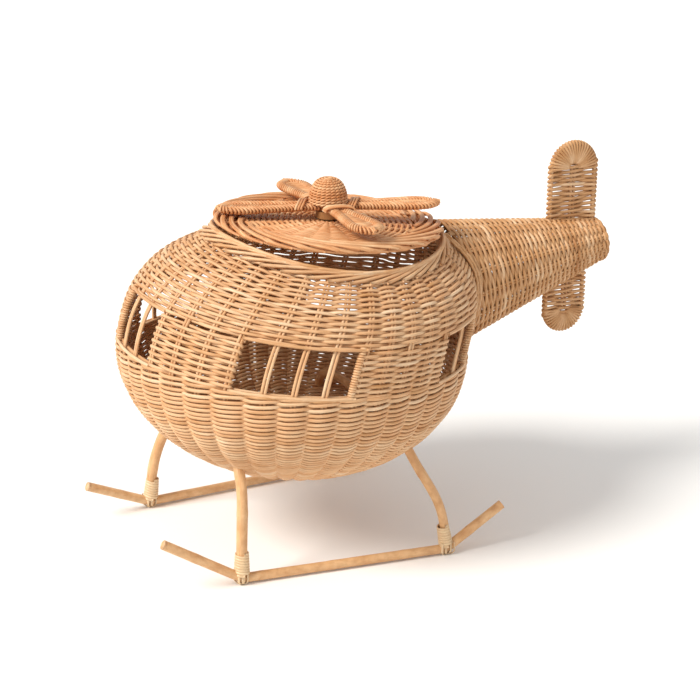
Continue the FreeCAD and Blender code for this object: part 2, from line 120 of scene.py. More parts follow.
def tube(path, guide, wide, thick, closed=False, sides=SIDES):
    """Ring points P + thick cos(a) N + wide sin(a) B about each path point, with N the guide made
    square to the path and B across both. Returns points, quads, and the UV of each point."""
    path = np.asarray(path, float)
    guide = np.broadcast_to(np.asarray(guide, float), path.shape)
    along = tangents(path, closed)
    normal = guide - (guide * along).sum(1, keepdims=True) * along
    normal /= np.maximum(np.linalg.norm(normal, axis=1, keepdims=True), 1e-12)
    across = np.cross(along, normal)
    turn = 2 * np.pi * np.arange(sides) / sides
    wide = np.broadcast_to(wide, len(path))[:, None, None]
    thick = np.broadcast_to(thick, len(path))[:, None, None]
    rings = (path[:, None] + thick * np.cos(turn)[None, :, None] * normal[:, None]
             + wide * np.sin(turn)[None, :, None] * across[:, None])
    count = len(path)
    rows = np.arange(count if closed else count - 1)[:, None]
    cols = np.arange(sides)[None, :]
    after = (rows + 1) % count
    beside = (cols + 1) % sides
    quads = np.stack([rows * sides + cols, after * sides + cols,
                      after * sides + beside, rows * sides + beside], -1).reshape(-1, 4)
    run = travelled(path)
    uv = np.stack([np.repeat(run, sides), np.tile(turn / (2 * np.pi), count)], 1)
    return rings.reshape(-1, 3), quads, uv


def build(name, parts, material, body, replaces=()):
    """Pour many tubes into one mesh. Each part is (points, quads, uv, tint, sides, closed)."""
    verts, quads, uvs, tints, caps = [], [], [], [], []
    base = 0
    for points, faces, uv, tint, sides, closed in parts:
        verts.append(points)
        quads.append(faces + base)
        uvs.append(uv)
        tints.append(np.broadcast_to(tint, len(points)))
        if not closed:
            caps.append(list(range(base + sides - 1, base - 1, -1)))
            caps.append(list(range(base + len(points) - sides, base + len(points))))
        base += len(points)
    verts = np.concatenate(verts)
    quads = np.concatenate(quads)
    mesh = bpy.data.meshes.new(name)
    mesh.from_pydata(verts.tolist(), [], quads.tolist() + caps)
    tint_layer = mesh.attributes.new("tint", "FLOAT", "POINT")
    tint_layer.data.foreach_set("value", np.concatenate(tints).astype(np.float32))
    layer = mesh.uv_layers.new(name="strand")
    corner = np.empty(len(mesh.loops), np.int32)
    mesh.loops.foreach_get("vertex_index", corner)
    layer.data.foreach_set("uv", np.concatenate(uvs)[corner].ravel().astype(np.float32))
    mesh.polygons.foreach_set("use_smooth", np.full(len(mesh.polygons), True))
    mesh.update()
    mesh.materials.append(material)
    piece = bpy.data.objects.new(name, mesh)
    bpy.context.scene.collection.objects.link(piece)
    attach(piece, body)
    if replaces:
        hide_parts(*replaces)
    print(name, len(parts), "strands", 2 * len(quads), "triangles without the ends")
    return piece


def shade():
    """A strand's own tint: most are alike and a few stand out."""
    return float(np.clip(random.normal(0.5, 0.16), 0.02, 0.98))


def strand(path, guide, radius, closed=False, flat=1.0, tint=None, sides=SIDES):
    """One strand of round core; flat is its size along the guide over its size across it."""
    tint = shade() if tint is None else tint
    tint = np.repeat(tint, sides) if np.ndim(tint) else tint
    points, quads, uv = tube(path, guide, radius, radius * flat, closed, sides)
    return points, quads, uv, tint, sides, closed


# %% [markdown]
# Rattan core is the stripped heart of a climbing palm. It is unvarnished here: pale straw in
# places and honey or reddish in others, from strand to strand and along one strand, with fine
# fibres running its whole length that catch the light. One recipe serves all of it, with other
# hues for the steamed, redder strands of the lid and rotor and the paler, skinned poles.

# %% Material helpers
def linear(code, alpha=1.0):
    """An sRGB hex colour as linear light."""
    parts = [int(code[i:i + 2], 16) / 255 for i in (1, 3, 5)]
    parts = [p / 12.92 if p <= 0.04045 else ((p + 0.055) / 1.055) ** 2.4 for p in parts]
    return (*parts, alpha)


def add(tree, kind, settings=None, links=None):
    """Add one node, set its sockets or properties, and link its inputs."""
    node = tree.nodes.new(kind)
    for key, value in (settings or {}).items():
        if isinstance(key, str) and key not in node.inputs:
            setattr(node, key, value)
        else:
            node.inputs[key].default_value = value
    for key, source in (links or {}).items():
        tree.links.new(source, node.inputs[key])
    return node


def ramp(tree, source, stops):
    """A colour for each value of the source, straight lines between the stops."""
    node = add(tree, "ShaderNodeValToRGB", links={"Fac": source})
    while len(node.color_ramp.elements) < len(stops):
        node.color_ramp.elements.new(0.5)
    for element, (place, code) in zip(node.color_ramp.elements, stops):
        element.position = place
        element.color = linear(code)
    return node.outputs["Color"]


# %% Rattan recipe
def rattan(name, hues, roughness, fibre_mm, fibre_depth):
    """Stripped or skinned rattan: a hue per strand, patches along it, and fibres down its length."""
    material = bpy.data.materials.new(name)
    material.use_nodes = True
    tree = material.node_tree
    tree.nodes.clear()
    out = add(tree, "ShaderNodeOutputMaterial")
    shader = add(tree, "ShaderNodeBsdfPrincipled", {"Roughness": roughness, "IOR": 1.45})
    tree.links.new(shader.outputs[0], out.inputs["Surface"])
    tint = add(tree, "ShaderNodeAttribute", {"attribute_name": "tint"})
    uv = add(tree, "ShaderNodeUVMap", {"uv_map": "strand"})
    place = add(tree, "ShaderNodeTexCoord")
    patches = add(tree, "ShaderNodeTexNoise", {"Scale": 34.0, "Detail": 2.0, "Roughness": 0.6},
                  {"Vector": place.outputs["Object"]})
    shift = add(tree, "ShaderNodeMath", {"operation": "MULTIPLY_ADD", 1: 0.85, 2: -0.42},
                {0: patches.outputs["Fac"]})
    mix = add(tree, "ShaderNodeMath", {"operation": "ADD", "use_clamp": True},
              {0: tint.outputs["Fac"], 1: shift.outputs[0]})
    base = ramp(tree, mix.outputs[0], hues)
    spread = add(tree, "ShaderNodeMapping", {"Scale": (1 / (14 * MM), 3.2 / fibre_mm, 1.0)},
                 {"Vector": uv.outputs[0]})
    offset = add(tree, "ShaderNodeCombineXYZ", {}, {"Z": tint.outputs["Fac"]})
    far = add(tree, "ShaderNodeVectorMath", {"operation": "SCALE", "Scale": 57.0},
              {0: offset.outputs[0]})
    moved = add(tree, "ShaderNodeVectorMath", {"operation": "ADD"},
                {0: spread.outputs[0], 1: far.outputs[0]})
    fibres = add(tree, "ShaderNodeTexNoise", {"Scale": 1.0, "Detail": 3.0, "Roughness": 0.65},
                 {"Vector": moved.outputs[0]})
    streak = ramp(tree, fibres.outputs["Fac"], [(0.30, "#c9a988"), (0.62, "#ffffff")])
    colour = add(tree, "ShaderNodeMix", {"data_type": "RGBA", "blend_type": "MULTIPLY"})
    colour.inputs[0].default_value = 0.55
    tree.links.new(base, colour.inputs[6])
    tree.links.new(streak, colour.inputs[7])
    bump = add(tree, "ShaderNodeBump", {"Strength": 0.5, "Distance": fibre_depth * MM},
               {"Height": fibres.outputs["Fac"]})
    tree.links.new(colour.outputs[2], shader.inputs["Base Color"])
    tree.links.new(bump.outputs[0], shader.inputs["Normal"])
    return material


# %% [markdown]
# The woven core is matt. It is browner on the boom and fins, and redder on the lid and rotor. A
# sanded pole is smoother and shines a little. Cane is the plant's own skin, pale and the glossiest.
# The peg is oiled beech.

# %% Materials
WALL_HUES = [(0.05, "#c69460"), (0.35, "#dcac7d"), (0.65, "#e4bd92"), (0.95, "#ecceaa")]
LID_HUES = [(0.05, "#c78149"), (0.35, "#da9c68"), (0.65, "#e4af7e"), (0.95, "#edc598")]
BOOM_HUES = [(0.05, "#b47e4c"), (0.40, "#ca9a68"), (0.70, "#d9ae81"), (0.95, "#e5c49d")]
POLE_HUES = [(0.05, "#cd9a66"), (0.45, "#deb07e"), (0.95, "#e9c598")]
CANE_HUES = [(0.05, "#d2ad80"), (0.50, "#e2c297"), (0.95, "#edd6b2")]
WOOD_HUES = [(0.05, "#a87a4c"), (0.95, "#c39a6b")]
core = rattan("stripped_rattan_core_woven", WALL_HUES, 0.52, 0.5, 0.10)
lid_core = rattan("steamed_rattan_core_woven", LID_HUES, 0.48, 0.5, 0.10)
boom_core = rattan("darker_rattan_core_woven", BOOM_HUES, 0.50, 0.5, 0.10)
pole_skin = rattan("bent_rattan_pole_sanded", POLE_HUES, 0.40, 0.9, 0.12)
cane = rattan("flat_rattan_cane_bound", CANE_HUES, 0.38, 0.6, 0.06)
beech = rattan("turned_beech_oiled", WOOD_HUES, 0.45, 0.8, 0.05)
print("materials:", [m.name for m in (core, boom_core, lid_core, pole_skin, cane, beech)])

# %% [markdown]
# The basket's surface is a function of two numbers: the angle round it and a height station above
# its widest ring. A station's radius follows a squashed circle below and a fuller one above, its
# centre drifts towards the tail, and it sags at the two sides, so the mouth is a saddle. The whole
# basket then leans back a little, nose up, about its widest ring.

# %% Basket surface
floor_mount = mounts["basket_floor_underside"]
PITCH = math.asin(floor_mount["axis"][0])
lower_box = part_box("lower_wall")
BODY_RADIUS = (lower_box[1][1] - lower_box[0][1]) / 2
BASE_DROP = 0.138
EQUATOR = floor_mount["pos_m"][2] + BASE_DROP * math.cos(PITCH)
LOWER_DEPTH, LOWER_POWER = 0.147, 2.08
UPPER_DEPTH, UPPER_POWER = 0.148, 3.77
SHOULDER, MOUTH, MOUTH_RADIUS = 0.1185, 0.1305, 0.131
MOUTH_SHIFT, MOUTH_DIP = 0.036, 0.017
WALL = 0.007
SILL, HEAD = 0.006, 0.066
print("basket radius", round(BODY_RADIUS, 4), "widest ring at", round(EQUATOR, 4))


def station_radius(z):
    """Squashed circle under the widest ring, a fuller curve above it, a straight slope to the mouth."""
    z = np.asarray(z, float)
    low = np.sqrt(np.clip(1 - (np.clip(-z, 0, None) / LOWER_DEPTH) ** LOWER_POWER, 0, 1))
    high = np.sqrt(np.clip(1 - (np.clip(z, 0, SHOULDER) / UPPER_DEPTH) ** UPPER_POWER, 0, 1))
    radius = BODY_RADIUS * np.where(z < 0, low, high)
    edge = BODY_RADIUS * math.sqrt(1 - (SHOULDER / UPPER_DEPTH) ** UPPER_POWER)
    slope = np.clip((z - SHOULDER) / (MOUTH - SHOULDER), 0, 1.5)
    return np.where(z > SHOULDER, edge + (MOUTH_RADIUS - edge) * slope, radius)


def leaned(x, y, h):
    """Turn a point by the basket's pitch about its widest ring: x and h mix by cos and sin."""
    return np.stack([x * math.cos(PITCH) - h * math.sin(PITCH), y,
                     EQUATOR + x * math.sin(PITCH) + h * math.cos(PITCH)], -1)


def basket(angle, z, out=0.0):
    """The point at an angle and station, moved out from the wall's outer face by a distance."""
    angle, z, out = np.broadcast_arrays(np.asarray(angle, float), z, out)
    grow = 0.0005
    slope = (station_radius(z + grow) - station_radius(z - grow)) / (2 * grow)
    size = np.hypot(1, slope)
    share = np.clip(z, 0, None) / MOUTH
    radius = station_radius(z) + out / size
    x = radius * np.cos(angle) - MOUTH_SHIFT * share ** 1.5
    y = radius * np.sin(angle)
    h = z - out * slope / size - MOUTH_DIP * np.sqrt(share) * np.sin(angle) ** 2
    return leaned(x, y, h)


def basket_normal(angle, z):
    """Outward direction, from one point pushed out and one not."""
    step = basket(angle, z, 0.001) - basket(angle, z, 0.0)
    return step / np.linalg.norm(step, axis=-1, keepdims=True)


stations = np.linspace(-BASE_DROP, MOUTH, 2000)
outline = np.stack([station_radius(stations), stations], 1)
girth = travelled(outline)


def rows_between(low, high, pitch):
    """Stations spaced evenly up the slope of the wall, a pitch apart."""
    start, end = np.interp([low, high], stations, girth)
    count = max(2, int(round((end - start) / pitch)))
    return np.interp(np.linspace(start, end, count + 1), girth, stations)


# %% [markdown]
# Stakes are the upright pairs that the weavers pass round. They aren't evenly spaced: the maker
# set them to suit the windows, so each stretch between two window edges is divided by itself, and
# the port side is copied to starboard.

# %% Stakes
NOSE = (-14.5, 15.0)
FRONT = (46.0, 85.5)
REAR = (118.5, 141.5)


def stretch(low, high, panels):
    """Angles that divide a stretch into equal panels, without its first end."""
    return np.linspace(low, high, panels + 1)[1:]


FRONT_BAR_SHIFT = [1.6, 0.9, 0.4, 0.0]
port_side = np.concatenate([[4.9], [14.8], stretch(14.8, 45.5, 3),
                            stretch(45.5, 85.5, 4) + FRONT_BAR_SHIFT,
                            stretch(85.5, 118.2, 4), [130.0, 141.5], stretch(141.5, 175.5, 4)])
stake_angles = np.radians(np.concatenate([-port_side[::-1], port_side]))
STAKES = len(stake_angles)
wrapped = np.concatenate([stake_angles - 2 * np.pi, stake_angles, stake_angles + 2 * np.pi])
numbers = np.arange(-STAKES, 2 * STAKES)
print("stake pairs:", STAKES)


def stake_count(angle):
    """How many stakes along an angle is, as a smooth number."""
    return np.interp(angle, wrapped, numbers)


STAKE_RADIUS = 1.75 * MM
PAIR_GAP = 3.9 * MM
WEAVER = 2.0 * MM
PRESSED = 0.78
MIDDLE = -WALL / 2


def stake_pair(angle, low, high):
    """Two upright strands side by side in the middle of the wall."""
    pair = []
    z = np.linspace(low, high, 40)
    lean = random.normal(0, 0.002)
    for sign in (-1, 1):
        a = angle + (sign * PAIR_GAP / 2) / np.maximum(station_radius(z), 0.05)
        a = a + lean * (z - low) / 0.2
        pair.append(strand(basket(a, z, MIDDLE), basket_normal(a, z), STAKE_RADIUS))
    return pair


sticks = []
for angle in stake_angles:
    sticks += stake_pair(angle, -BASE_DROP + 0.002, MOUTH - 0.001)
build("basket_stakes", sticks, core, "basket")


# %% [markdown]
# The lower wall is paired: two weavers go round together and change places between stakes, so one
# of them lies in front of every stake. Each is a flattened helix about the wall's middle, one half
# turn for each stake, and that gives the short slanting bricks.

# %% Lower wall, paired
PAIR_PITCH = 5.3 * MM
PAIR_WEAVER = 2.12 * MM
PAIR_TWIST, PAIR_REACH = 1.25 * MM, 3.5 * MM
PAIR_SAMPLES = 5


def paired_row(z, low=-np.pi, high=np.pi):
    """Two strands, half a turn for each stake: up and down by its sine, and in and out by its
    cosine, flattened by tanh."""
    closed = high - low > 6.28
    samples = int(STAKES * PAIR_SAMPLES * (high - low) / (2 * np.pi))
    angle = np.linspace(low, high, samples, endpoint=not closed)
    phase = np.pi * stake_count(angle) + np.pi * random.integers(0, 2)
    wobble = 0.25 * MM * np.sin(angle * 3 + random.random() * 6)
    made = []
    for sign in (1, -1):
        out = MIDDLE + sign * PAIR_REACH * np.tanh(1.3 * np.cos(phase)) / np.tanh(1.3)
        rise = z + sign * PAIR_TWIST * np.sin(phase) + wobble
        facing = basket_normal(angle, rise)
        made.append(strand(basket(angle, rise, out), facing, PAIR_WEAVER, closed, PRESSED))
    return made


lower = []
rows = rows_between(-BASE_DROP + 0.003, -0.0165, PAIR_PITCH)
for z in rows:
    lower += paired_row(z)
unbroken = [(-FRONT[0], 360 - REAR[1]), (360 - REAR[0], 360 - FRONT[1])]
for z in rows_between(-0.011, SILL - 0.004, PAIR_PITCH):
    for start, end in unbroken:
        lower += paired_row(z, math.radians(start), math.radians(end))
build("basket_lower_weave", lower, core, "basket", ["lower_wall"])

# %% [markdown]
# The floor is woven first on the real basket: spokes cross in the middle and paired rows go round
# them. It is a flat disc in the basket's leaning frame.

# %% Floor
FLOOR_RADIUS = station_radius(-BASE_DROP) - 0.002
FLOOR_PITCH = 4.3 * MM
FLOOR_SPOKES = 16


def on_floor(angle, radius, rise):
    """A point of the floor by angle and radius, raised, then leaned by the basket's pitch."""
    x = radius * np.cos(angle)
    h = -BASE_DROP + 0.004 + rise + 0 * x
    return leaned(x, radius * np.sin(angle), h)


floor_up = np.array([-math.sin(PITCH), 0, math.cos(PITCH)])
floor = []
for radius in np.arange(0.008, FLOOR_RADIUS, FLOOR_PITCH):
    angle = circle(120)
    for sign in (1, -1):
        wave = np.cos(8 * angle + np.pi * (sign > 0))
        path = on_floor(angle, radius + sign * 0.8 * MM * np.sin(8 * angle), 2.4 * MM * wave)
        floor.append(strand(path, floor_up, 1.8 * MM, True))
for k in range(FLOOR_SPOKES):
    a = np.pi * k / 8
    reach = np.linspace(0.003, FLOOR_RADIUS + 0.001, 12)
    floor.append(strand(on_floor(a, reach, 0.0), floor_up, 2.2 * MM))
build("basket_floor", floor, core, "basket", ["base_disc"])

# %% [markdown]
# The upper wall is plain weave: one weaver goes in front of a stake and behind the next, and the
# row above does the opposite, so the stake pairs show as a chequer of small double dots.

# %% Upper wall, plain weave
PLAIN_PITCH = 3.55 * MM
PLAIN_SAMPLES = 6
REACH = 2.3 * MM


def plain_offset(angle, row):
    """Outward offset, positive in front of a stake, with flattened tops."""
    wave = np.cos(np.pi * (stake_count(angle) + row))
    return MIDDLE + REACH * np.tanh(1.5 * wave) / np.tanh(1.5)


def plain_row(z, row):
    """One ring at a station, in and out of the stakes, with a slow rise and fall of its own."""
    angle = np.linspace(-np.pi, np.pi, STAKES * PLAIN_SAMPLES, endpoint=False)
    wobble = 0.35 * MM * np.sin(angle * random.integers(2, 6) + random.random() * 6)
    path = basket(angle, z + wobble, plain_offset(angle, row))
    size = WEAVER * (1 + 0.05 * random.normal())
    return strand(path, basket_normal(angle, z), size, True, PRESSED)


upper = []
for row, z in enumerate(rows_between(HEAD + 0.001, MOUTH - 0.0025, PLAIN_PITCH)):
    upper.append(plain_row(z, row))
build("basket_upper_weave", upper, core, "basket", ["upper_wall"])

# %% [markdown]
# Between the windows a weaver can't go all the way round. It works to and fro across its pier, and
# at each side it loops round the edge stake and comes back one row higher.

# %% Piers between the windows
def pier_path(low, high, rows):
    """One snake: to and fro between two stakes, half a loop round the edge stake between rows."""
    stake_span = int(round(stake_count(high) - stake_count(low)))
    angle, rise, out, tint = [], [], [], []
    for row, z in enumerate(rows[:-1]):
        run = np.linspace(low, high, stake_span * PLAIN_SAMPLES + 1)
        if row % 2:
            run = run[::-1]
        angle.append(run)
        rise.append(np.full(len(run), z))
        out.append(plain_offset(run, row))
        loop = np.linspace(0, np.pi, 5)[1:-1]
        edge = run[-1]
        away = 1 if row % 2 == 0 else -1
        start = out[-1][-1] - MIDDLE
        angle.append(edge + away * (4.6 * MM / BODY_RADIUS) * np.sin(loop))
        rise.append(z + (rows[row + 1] - z) * (1 - np.cos(loop)) / 2)
        out.append(MIDDLE + start * np.cos(loop))
        tint.append(np.full(len(run) + len(loop), shade()))
    angle, rise, out = np.concatenate(angle), np.concatenate(rise), np.concatenate(out)
    upward = [-math.sin(PITCH), 0, math.cos(PITCH)]
    tint = np.concatenate(tint)
    return strand(basket(angle, rise, out), upward, WEAVER * PRESSED, flat=1 / PRESSED, tint=tint)


def pier(name, low, high, rows):
    """Build one snake between two angles in degrees, in place of the node of that name."""
    snake = pier_path(np.radians(low), np.radians(high), rows)
    build(name + "_weave", [snake], core, "basket", [name])


pier_rows = rows_between(SILL, HEAD - 0.0015, PLAIN_PITCH)
piers = {"nose_port_pier": (14.8, 45.5), "mid_port_pier": (85.5, 118.2), "tail_pier": (141.5, 218.5),
         "mid_starboard_pier": (241.8, 274.5), "nose_starboard_pier": (314.5, 345.2)}
for name, (low, high) in piers.items():
    pier(name, low, high, pier_rows)

# %% [markdown]
# The two starboard windows sit a little lower than the port ones, so a short header of the same
# weave fills the band over each of them.

# %% Starboard headers
STARBOARD_DROP = 0.020
header_rows = rows_between(HEAD - STARBOARD_DROP + 0.001, HEAD - 0.0015, PLAIN_PITCH)
pier("starboard_front_header", -FRONT[1], -45.5, header_rows)
pier("starboard_rear_header", -REAR[1], -118.2, header_rows)

# %% [markdown]
# The windows come next. One jamb of each is wound with fine core, two weavers close its sill and
# its head, and the open panels keep their bare stakes as bars.

# %% Window frames
def wound(path, guide, radius, core_radius, pitch, samples=10, across=None, slant=0.0):
    """A coil: radius cos(turn) along the guide and across sin(turn) beside it, climbing the path."""
    across = radius if across is None else across
    run = travelled(path)
    turns = run[-1] / pitch
    t = np.linspace(0, 1, int(turns * samples))
    place = np.stack([np.interp(t * run[-1], run, path[:, i]) for i in range(3)], 1)
    guide = np.broadcast_to(guide, path.shape)
    facing = np.stack([np.interp(t * run[-1], run, guide[:, i]) for i in range(3)], 1)
    along = tangents(place, False)
    facing -= (facing * along).sum(1, keepdims=True) * along
    facing /= np.linalg.norm(facing, axis=1, keepdims=True)
    beside = np.cross(along, facing)
    turn = 2 * np.pi * turns * t
    spoke = radius * np.cos(turn)[:, None] * facing + across * np.sin(turn)[:, None] * beside
    lean = slant * np.sin(turn)[:, None] * along
    tint = 0.5 + 0.16 * np.sin(turn / 9.0) + 0.1 * np.sin(turn / 2.3)
    return strand(place + spoke + lean, along, core_radius, tint=tint)


def window(name, start, end, jamb, drop=0.0):
    """One wound jamb at an edge, and two weavers, outside and inside, along the sill and head."""
    low, head = SILL - drop, HEAD - drop
    aside = -0.0048 if jamb > start else 0.0048
    a = math.radians(jamb) + aside / BODY_RADIUS
    z = np.linspace(low - 0.004, head + 0.003, 30)
    path = basket(np.full(30, a), z, MIDDLE + 0.0005)
    made = [strand(path, basket_normal(a, z), 2.4 * MM),
            wound(path, basket_normal(a, z), 3.1 * MM, 1.3 * MM, 2.7 * MM)]
    for z in (low - 0.0012, head - 0.0002):
        angle = np.linspace(math.radians(start), math.radians(end), 40)
        for aside in (0.003, -0.003):
            path = basket(angle, z + 0 * angle, MIDDLE + aside)
            made.append(strand(path, basket_normal(angle, z), WEAVER))
    build(name, made, core, "basket", [name])


window("nose_window_frame", *NOSE, NOSE[0])
window("port_front_window_frame", *FRONT, FRONT[1])
window("port_rear_window_frame", *REAR, REAR[1])
window("starboard_front_window_frame", -FRONT[1], -FRONT[0], -FRONT[1], STARBOARD_DROP)
window("starboard_rear_window_frame", -REAR[1], -REAR[0], -REAR[1], STARBOARD_DROP)

# %% [markdown]
# At the mouth the stake ends are bent over and laid along the edge in bundles, each tucked under
# the next ones. A bundle is three strands side by side that climb to the edge at a shallow slant,
# run along it past several stakes, and roll over to the inside.

# %% Mouth border
border = []
SPAN = 6.5 * 2 * np.pi / STAKES
for k, angle in enumerate(stake_angles):
    for j in range(3):
        t = np.linspace(0, 1, 30)
        a = angle + SPAN * (t + 0.05 * j)
        climb = np.clip(t / 0.6, 0, 1)
        rise = MOUTH - 0.0050 + 0.0082 * np.sin(np.pi / 2 * climb) + 0.0011 * (j - 1)
        out = 0.0016 + 0.0014 * np.sin(np.pi * t) - 0.0100 * np.clip((t - 0.35) / 0.65, 0, 1) ** 1.3
        path = basket(a, np.minimum(rise, MOUTH), out)
        path[:, 2] += np.maximum(rise - MOUTH, 0)
        border.append(strand(path, basket_normal(a, np.minimum(rise, MOUTH)), 2.0 * MM))
build("rim_border_weave", border, core, "basket", ["rim_border"])

# %% [markdown]
# The tail boom is a woven cone lashed to the basket. Its rows are rings round a rising axis, in
# plain weave over sixteen ribs. Rows near the basket are cut where they would enter it.

# %% Tail boom
BOOM_START = np.array([-0.150, 0, 0.2725])
BOOM_END = np.array([-0.405, 0, 0.306])
BOOM_RADII = (0.0855, 0.027)
axis = (BOOM_END - BOOM_START) / np.linalg.norm(BOOM_END - BOOM_START)
BOOM_LENGTH = np.linalg.norm(BOOM_END - BOOM_START)
axis_up = np.cross([0, 1, 0], axis)
axis_up = axis_up if axis_up[2] > 0 else -axis_up
RIBS = 16
BOOM_PITCH = 3.35 * MM
print("boom", round(float(BOOM_LENGTH), 4), "long")


def boom_radius(run):
    """The cone's radius, a straight line from its root to its end."""
    return BOOM_RADII[0] + (BOOM_RADII[1] - BOOM_RADII[0]) * run / BOOM_LENGTH


def boom_spoke(angle):
    """The direction square to the boom's axis at an angle from its top."""
    return np.cos(angle)[:, None] * axis_up + np.sin(angle)[:, None] * np.array([0, 1.0, 0])


def on_boom(angle, run, out):
    """A point on the cone: run along the axis, angle round it from the top, moved out."""
    radius = boom_radius(run) + out
    spoke = boom_spoke(angle)
    run = np.broadcast_to(run, angle.shape)[:, None]
    return BOOM_START + run * axis + np.broadcast_to(radius, angle.shape)[:, None] * spoke, spoke


def inside_basket(points, margin=0.001):
    """True where a point lies inside the basket's outer face."""
    q = points - np.array([0, 0, EQUATOR])
    x = q[:, 0] * math.cos(PITCH) + q[:, 2] * math.sin(PITCH)
    h = -q[:, 0] * math.sin(PITCH) + q[:, 2] * math.cos(PITCH)
    share = np.clip(h, 0, MOUTH) / MOUTH
    away = np.hypot(x + MOUTH_SHIFT * share ** 1.5, q[:, 1])
    return (away < station_radius(np.clip(h, -BASE_DROP, MOUTH)) - margin) & (h < MOUTH)


def outside_run(points, keep):
    """The longest unbroken stretch of a closed path that is kept, or None."""
    if keep.all():
        return np.arange(len(points)), True
    if not keep.any():
        return None, False
    start = np.argmax(~keep)
    order = (np.arange(len(points)) + start) % len(points)
    flags = keep[order]
    marks = np.flatnonzero(np.diff(np.concatenate([[0], flags.astype(int), [0]])))
    spans = marks.reshape(-1, 2)
    low, high = spans[np.argmax(spans[:, 1] - spans[:, 0])]
    return order[low:high], False


boom = []
for row, run in enumerate(np.arange(0.024, BOOM_LENGTH, BOOM_PITCH)):
    angle = circle(RIBS * 7)
    wave = np.cos(np.pi * (RIBS * angle / (2 * np.pi) + row))
    path, spoke = on_boom(angle, run + 0.4 * MM * np.sin(angle + row), -0.0030 + 2.0 * MM * wave)
    keep, whole = outside_run(path, ~inside_basket(path, 0.004))
    if keep is None or len(keep) < 6:
        continue
    size = 1.85 * MM * (1 + 0.05 * random.normal())
    boom.append(strand(path[keep], spoke[keep], size, whole, 0.85))
for k in range(RIBS):
    run = np.linspace(0.045, BOOM_LENGTH + 0.001, 24)
    for sign in (-1, 1):
        a = 2 * np.pi * k / RIBS + sign * 1.6 * MM / boom_radius(run)
        path, spoke = on_boom(a, run, -0.003)
        good = ~inside_basket(path, 0.006)
        boom.append(strand(path[good], spoke[good], 1.6 * MM))
build("boom_weave", boom, boom_core, "basket", ["boom_wall"])

# %% [markdown]
# The boom's end is closed by a small woven dome, so its rows are rings that shrink by the cosine of
# a quarter turn while they move out by its sine.

# %% Boom end
cap = []
for row, share in enumerate(np.linspace(0.0, 0.97, 9)):
    angle = circle(96)
    turn = share * np.pi / 2
    radius = 0.0235 * math.cos(turn) + 0.0018
    spoke = boom_spoke(angle)
    wave = 1.3 * MM * np.cos(8 * angle + np.pi * row)[:, None]
    path = BOOM_END + axis * (0.0055 * math.sin(turn) + wave * math.sin(turn))
    path = path + spoke * (radius + wave * math.cos(turn))
    cap.append(strand(path, axis * math.sin(turn) + spoke * math.cos(turn), 1.7 * MM, True))
build("boom_end_rosette", cap, boom_core, "basket", ["boom_end_cap"])

# %% [markdown]
# Where the boom meets the basket, two twisted pairs of strands are laid round the joint. They
# follow the line where the cone leaves the basket's face, found by stepping out along the cone.

# %% Boom root
def boom_root(reach):
    """For each angle the last run that is inside the basket, averaged over its neighbours, plus a
    reach along the cone."""
    angle = circle(90)
    best = np.zeros(len(angle))
    for run in np.linspace(0.0, 0.11, 160):
        path, _ = on_boom(angle, run, 0.0)
        best = np.where(inside_basket(path, 0.0), run, best)
    best = (np.roll(best, 1) + best + np.roll(best, -1)) / 3
    return on_boom(angle, best + reach, 0.0022)


root = []
for reach in (0.001, 0.0048):
    path, spoke = boom_root(reach)
    swirl = np.cos(24 * circle(90))[:, None] * 1.2 * MM
    root.append(strand(path + spoke * swirl, spoke, 1.7 * MM, True))
    root.append(strand(path - spoke * swirl, spoke, 1.7 * MM, True))
build("boom_root_lashing", root, boom_core, "basket")

# %% [markdown]
# Each fin is a bent hoop standing on the boom, with a middle rib. One weaver goes back and forth:
# behind one pole, before the rib, behind the other pole, round it, and back the other way. Round
# the hoop's end the turns fan out from the middle to the hoop.

